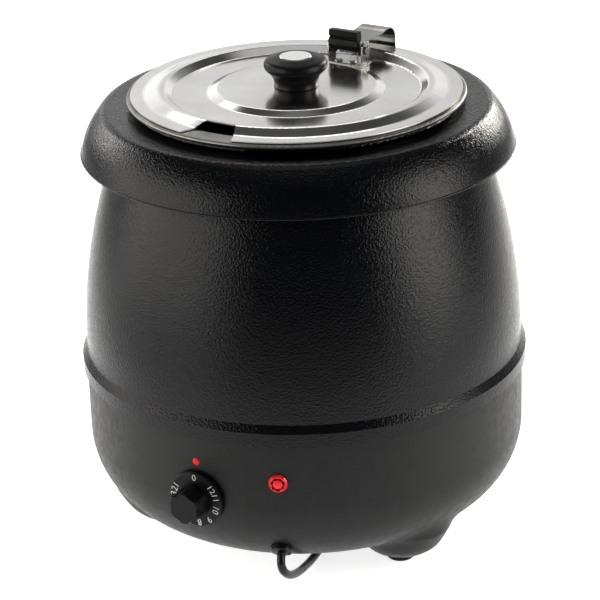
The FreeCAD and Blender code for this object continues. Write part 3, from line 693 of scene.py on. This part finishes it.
@dataclass
class Shell(Assembly):
    """Coated jacket and collar on the moulded bowl with its feet."""

    lip_radius: float = 161.0
    lip_height: float = 305.8
    hem: float = 0.75
    hem_steps: int = 10
    round_steps: int = 180
    feet: tuple[float, ...] = (-63.0, 57.0, 177.0)
    flare: FootFlare = FootFlare()
    wears = {
        COAT: ("jacket", "collar"),
        BASE: ("base_bowl",),
        RUBBER: ("foot_pads",),
        ZINC: ("foot_screws", "collar_screws"),
    }

    def build(self) -> None:
        """Roll the collar's hem and run the foot bosses into the bowl's side."""
        settle(link("collar_hem", self.hem_mesh()), Body.KETTLE, COAT)
        for number, azimuth in enumerate(self.feet, 1):
            skin = link(f"foot_flare_{number}", self.flare.mesh(azimuth))
            thicken = skin.modifiers.new("wall", "SOLIDIFY")
            thicken.thickness, thicken.offset = self.flare.wall * MM, -1.0
            settle(skin, Body.KETTLE, BASE)

    def hem_mesh(self) -> bpy.types.Mesh:
        """Roll the hem round the collar's lip.

        Returns:
            The new mesh.
        """
        rows = []
        for i in range(self.round_steps):
            k = 2 * math.pi * i / self.round_steps
            row = []
            for j in range(self.hem_steps):
                a = 2 * math.pi * j / self.hem_steps
                r = self.lip_radius + self.hem * math.cos(a)
                z = self.lip_height + self.hem * math.sin(a)
                row.append(Vector((r * math.cos(k), r * math.sin(k), z)))
            rows.append(row)
        return sheet_mesh("collar_hem", rows, True)


class Inside(Assembly):
    """Water pan, heater and the electrical parts in the bowl."""

    wears = {
        SATIN: ("water_pan",),
        TINTED: ("heater",),
        ZINC: ("heater_clamp", "tie_stud", "tie_nuts", "thermostat_screws", "thermal_cutout"),
        PHENOLIC: ("thermostat",),
        COPPER: ("sensing_bulb",),
        NYLON: ("terminal_block", "lamp_holder"),
    }


class Pot(Assembly):
    """Lift-out pot that hangs in the pan."""

    wears = {
        SATIN: ("pot_floor", "pot_wall"),
        ROLLED: ("pot_rim",),
    }


class Lid(Assembly):
    """Pressed lid with its knob and the sprung hinge."""

    wears = {
        MIRROR: ("lid",),
        KNOB: ("lid_knob",),
        CAP: ("knob_cap",),
        GRIP: ("thumb_grip",),
        SATIN: ("hinge_bracket",),
        SPRUNG: ("hinge_clip",),
        ZINC: ("knob_screw", "bracket_rivets", "hinge_pin", "clip_spring"),
    }


@dataclass
class Controls(Assembly):
    """Dial with its figures, index dot and pilot lamp."""

    azimuth: float = -10.6
    height: float = 88.0
    face: float = 171.6
    circle: float = 17.5
    tall: float = 7.0
    thick: float = 0.05
    figures: tuple[tuple[str, float], ...] = (
        ("0", 0), ("12", 51), ("11", 73), ("10", 105), ("9", 140), ("8", 170), ("7", 197),
        ("6", 221), ("5", 242), ("4", 260), ("3", 276), ("2", 289), ("1", 301),
    )
    wears = {
        DIAL: ("thermostat_dial",),
        ZINC: ("thermostat_shaft",),
        ENAMEL: ("index_dot",),
        LENS: ("lamp_lens",),
    }

    def build(self) -> None:
        """Print the figures round the dial's skirt."""
        points: list[Vector] = []
        faces: list[list[int]] = []
        for text, angle in self.figures:
            mesh = self.figure(text)
            place = self.place(angle)
            start = len(points)
            points.extend(place @ v.co for v in mesh.vertices)
            faces.extend([start + i for i in face.vertices] for face in mesh.polygons)
        mesh = bpy.data.meshes.new("dial_figures")
        mesh.from_pydata(points, [], faces)
        settle(link("dial_figures", mesh), Body.DIAL, FIGURES)

    def figure(self, text: str) -> bpy.types.Mesh:
        """Write one figure, flat and centred.

        Args:
            text: What it says.

        Returns:
            The new mesh.
        """
        letters = bpy.data.curves.new("figure", "FONT")
        letters.body = text
        letters.size = self.tall * MM
        letters.align_x, letters.align_y = "CENTER", "CENTER"
        letters.extrude = self.thick * MM
        return bpy.data.meshes.new_from_object(bpy.data.objects.new("figure", letters))

    def place(self, angle: float) -> Matrix:
        """Return where a figure stands on the dial.

        Args:
            angle: Degrees clockwise from the top.

        Returns:
            Matrix from the flat figure to its place.
        """
        k, a = math.radians(self.azimuth), math.radians(angle)
        out = Vector((math.sin(k), -math.cos(k), 0))
        side = Vector((math.cos(k), math.sin(k), 0))
        top = side * math.sin(a) + Vector((0, 0, math.cos(a)))
        turn = Matrix((top.cross(out), top, out)).transposed().to_4x4()
        middle = out * (self.face + self.thick) + Vector((0, 0, self.height)) + top * self.circle
        return Matrix.Translation(middle * MM) @ turn


@dataclass
class MainsLead(Assembly):
    """Mains cord: from the gland down, back under the kettle, and put away as a tied coil."""

    diameter: float = 6.2
    gland_azimuth: float = 10.2
    gland_circle: float = 153.3
    gland_sunk: float = 0.6
    gland_head: float = 4.5
    first_run: float = 4.5
    last_run: float = 14.0
    coil_x: float = -79.5
    coil_y: float = 160.0
    layer_low: float = 3.9
    layer_high: float = 10.6
    inner_radius: float = 26.0
    pitch: float = 6.7
    turns: int = 3
    flare: float = 5.0
    steps: int = 24
    nudge: float = 0.001
    length: float = 1.80
    route: tuple[tuple[float, float, float], ...] = (
        (28.9, -158.7, 37.3),
        (29.6, -157.8, 32.9),
        (30.4, -152.0, 26.4),
        (30.6, -141.0, 19.5),
        (30.0, -124.0, 12.4),
        (29.4, -106.0, 7.3),
        (29.2, -88.0, 3.4),
        (30.5, -62.0, 3.1),
        (31.0, -22.0, 3.1),
        (20.0, 30.0, 3.1),
        (-2.0, 76.0, 3.1),
        (-22.0, 112.0, 3.1),
    )
    wears = {
        BUSH: ("cord_gland",),
        PLUG: ("plug_body", "cord_tie"),
        BRASS: ("plug_pins",),
    }

    def gland_point(self, beyond: float) -> Vector:
        """Return the point on the gland's axis that far beyond its head, in millimetres.

        Args:
            beyond: Distance from the end of the head.

        Returns:
            The point.
        """
        across = self.gland_circle - (BOWL.radius - BOWL.corner)
        drop = math.sqrt(BOWL.corner ** 2 - across ** 2)
        reach = (BOWL.corner - self.gland_sunk + self.gland_head + beyond) / BOWL.corner
        out = BOWL.radius - BOWL.corner + across * reach
        z = BOWL.floor + BOWL.corner - drop * reach
        a = math.radians(self.gland_azimuth)
        return Vector((out * math.sin(a), -out * math.cos(a), z))

    def coil_point(self, turn: float) -> Vector:
        """Return the middle of the cord after a number of turns of the coil, in millimetres.

        Args:
            turn: Turns from the start of the coil.

        Returns:
            The point.
        """
        climb = turn - self.turns
        if climb <= 0:
            radius, z = self.inner_radius - climb * self.pitch, self.layer_low
        elif climb >= HALF_TURN:
            opening = max(turn - 2 * self.turns, 0) / HALF_TURN
            radius = self.inner_radius + (climb - HALF_TURN) * self.pitch + self.flare * opening ** 2
            z = self.layer_high
        else:
            radius = self.inner_radius - self.pitch / (2 * math.pi) * math.sin(2 * math.pi * climb)
            lift = (1 - math.cos(2 * math.pi * climb)) / 2
            z = self.layer_low + (self.layer_high - self.layer_low) * lift
        a = 2 * math.pi * turn
        return Vector((self.coil_x + radius * math.cos(a), self.coil_y + radius * math.sin(a), z))

    def points(self) -> list[Vector]:
        """Line up the control points of the whole cord.

        Returns:
            The points, in millimetres.
        """
        last = 2 * self.turns + HALF_TURN
        start_way = (self.coil_point(self.nudge) - self.coil_point(0)).normalized()
        end_way = (self.coil_point(last) - self.coil_point(last - self.nudge)).normalized()
        start = self.coil_point(0) - start_way * self.diameter
        count = round(last * self.steps)
        coil = [self.coil_point(last * i / count) for i in range(count + 1)]
        return [
            self.gland_point(0),
            self.gland_point(self.first_run),
            *(Vector(point) for point in self.route),
            start - start_way * self.last_run,
            start,
            *coil,
            coil[-1] + end_way * self.diameter,
        ]

    def build(self) -> None:
        """Lay the cord as one smooth curve."""
        curve = bpy.data.curves.new("mains_cord", "CURVE")
        curve.dimensions = "3D"
        points = self.points()
        spline = curve.splines.new("NURBS")
        spline.points.add(len(points) - 1)
        for target, point in zip(spline.points, points):
            target.co = (*(point * MM), 1.0)
        spline.order_u = 3
        spline.use_endpoint_u = True
        spline.resolution_u = 6
        curve.bevel_depth = self.diameter / 2 * MM
        curve.bevel_resolution = 5
        curve.use_fill_caps = True
        cord = link("mains_cord", curve)
        settle(cord, Body.KETTLE, SHEATH)
        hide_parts("cord_run", "cord_coil")


@dataclass
class PhotoCamera:
    """Camera at the place the photograph was taken from."""

    distance: float = 1.650
    height: float = 0.87809
    yaw: float = -0.00141
    pitch: float = 0.401247
    roll: float = -0.032
    focal: float = 2342.33
    frame_size: float = 600.0
    sensor: float = 36.0
    near: float = 0.05
    far: float = 50.0

    def build(self) -> None:
        """Set up the scene's camera."""
        level = math.cos(self.pitch)
        ahead = Vector((math.sin(self.yaw) * level, math.cos(self.yaw) * level, -math.sin(self.pitch)))
        right = ahead.cross(Vector((0, 0, 1))).normalized()
        up = right.cross(ahead)
        tilted_right = right * math.cos(self.roll) + up * math.sin(self.roll)
        tilted_up = up * math.cos(self.roll) - right * math.sin(self.roll)
        turn = Matrix((tilted_right, tilted_up, -ahead)).transposed().to_4x4()
        lens = bpy.data.cameras.new("photo_camera")
        lens.sensor_width = self.sensor
        lens.lens = self.focal * self.sensor / self.frame_size
        lens.clip_start, lens.clip_end = self.near, self.far
        camera = link("photo_camera", lens)
        around = Matrix.Rotation(math.radians(CAMERA_AZIMUTH), 4, "Z")
        camera.matrix_world = around @ Matrix.Translation((0, -self.distance, self.height)) @ turn
        bpy.context.scene.camera = camera


def towards(bearing: float, rise: float) -> Vector:
    """Return a direction from the kettle.

    Args:
        bearing: Degrees to the right of the camera.
        rise: Degrees above the horizon.

    Returns:
        The unit vector.
    """
    k, e = math.radians(CAMERA_AZIMUTH + bearing), math.radians(rise)
    return Vector((math.sin(k) * math.cos(e), -math.cos(k) * math.cos(e), math.sin(e)))


@dataclass(frozen=True)
class Glow:
    """Round soft patch of light on the studio's walls."""

    bearing: float
    rise: float
    inner: float
    outer: float
    strength: float


@dataclass(frozen=True)
class Softbox:
    """Flat lamp that faces the kettle."""

    name: str
    bearing: float
    rise: float
    distance: float
    size: tuple[float, float]
    radiance: float

    def build(self) -> None:
        """Hang the lamp."""
        light = bpy.data.lights.new(self.name, "AREA")
        light.shape = "RECTANGLE"
        light.size, light.size_y = self.size
        light.energy = self.radiance * math.pi * self.size[0] * self.size[1]
        light.color = LAMP_TINT
        lamp = link(self.name, light)
        way = towards(self.bearing, self.rise)
        lamp.location = Vector(LAMP_AIM) + way * self.distance
        lamp.rotation_euler = (-way).to_track_quat("-Z", "Y").to_euler()


@dataclass
class Studio:
    """Pale floor, dim room with soft patches of light, and lamps."""

    floor_half: float = 6.0
    floor_glow: float = 0.82
    strip_inner: float = 0.42
    strip_outer: float = 0.62
    strip_front: float = -0.56
    strip_start: float = -0.36
    floor_rough: float = 0.7
    floor_tones: tuple[Colour, Colour] = ((0.9, 0.9, 0.9), (0.93, 0.93, 0.93))
    floor_patch_mm: float = 400.0
    room: float = 0.1
    gamma: float = 0.8
    glows: tuple[Glow, ...] = (
        Glow(180, 6, 20, 40, 0.77),
        Glow(-140, 6, 22, 42, 0.5),
        Glow(140, 5, 20, 40, 0.3),
        Glow(0, 90, 20, 34, 0.6),
    )
    lamps: tuple[Softbox, ...] = (
        Softbox("left_box", -76, 13, 1.3, (1.8, 0.9), 2.2),
        Softbox("right_box", 68, 13, 1.3, (0.8, 0.9), 3.6),
        Softbox("rear_right_box", 138, 18, 1.5, (0.5, 0.5), 14.0),
        Softbox("rear_left_box", -128, 20, 1.5, (0.5, 0.5), 4.5),
        Softbox("rear_high_box", -172, 42, 1.8, (0.9, 0.3), 2.0),
    )

    def build(self) -> None:
        """Make floor, room and lamps."""
        self.lay_floor()
        self.light_room()
        for lamp in self.lamps:
            lamp.build()
        bpy.context.scene.view_settings.view_transform = "Standard"
        bpy.context.scene.view_settings.gamma = self.gamma

    def lay_floor(self) -> None:
        """Lay the pale floor, which glows in a strip that runs back from before the kettle."""
        h = self.floor_half
        mesh = bpy.data.meshes.new("floor")
        mesh.from_pydata([(-h, -h, 0), (h, -h, 0), (h, h, 0), (-h, h, 0)], [], [(0, 1, 2, 3)])
        paper = Surface("pale_floor")
        aside = paper.maths("ABSOLUTE", paper.along(towards(90, 0)))
        strip = paper.between(aside, self.strip_inner, self.strip_outer, self.floor_glow, 0.0)
        back = paper.along(towards(180, 0))
        start = paper.between(back, self.strip_front, self.strip_start, 0.0, 1.0)
        dull, clean = self.floor_tones
        paper.feed(
            Base_Color=paper.ramp(paper.noise(self.floor_patch_mm), ((0.3, dull), (0.7, clean))),
            Roughness=self.floor_rough,
            Emission_Color=WHITE,
            Emission_Strength=paper.maths("MULTIPLY", strip, start),
        )
        mesh.materials.append(paper.material)
        link("floor", mesh)

    def light_room(self) -> None:
        """Give the world its patches of light."""
        world = bpy.data.worlds.new("studio")
        bpy.context.scene.world = world
        world.use_nodes = True
        board = Board(world.node_tree, "Generated")
        total: object = self.room
        for glow in self.glows:
            facing = board.along(towards(glow.bearing, glow.rise))
            rim, core = (math.cos(math.radians(angle)) for angle in (glow.outer, glow.inner))
            total = board.maths("ADD", total, board.between(facing, rim, core, 0.0, glow.strength))
        background = world.node_tree.nodes["Background"]
        board.plug(background.inputs["Strength"], total)
        board.plug(background.inputs["Color"], WHITE)


def main() -> None:
    """Build the scene in order."""
    logging.basicConfig(level=logging.INFO)
    PhotoCamera().build()
    Studio().build()
    for assembly in (Shell(), Inside(), Pot(), Lid(), Controls(), MainsLead()):
        assembly.dress()
        assembly.build()


if __name__ == "__main__":
    main()
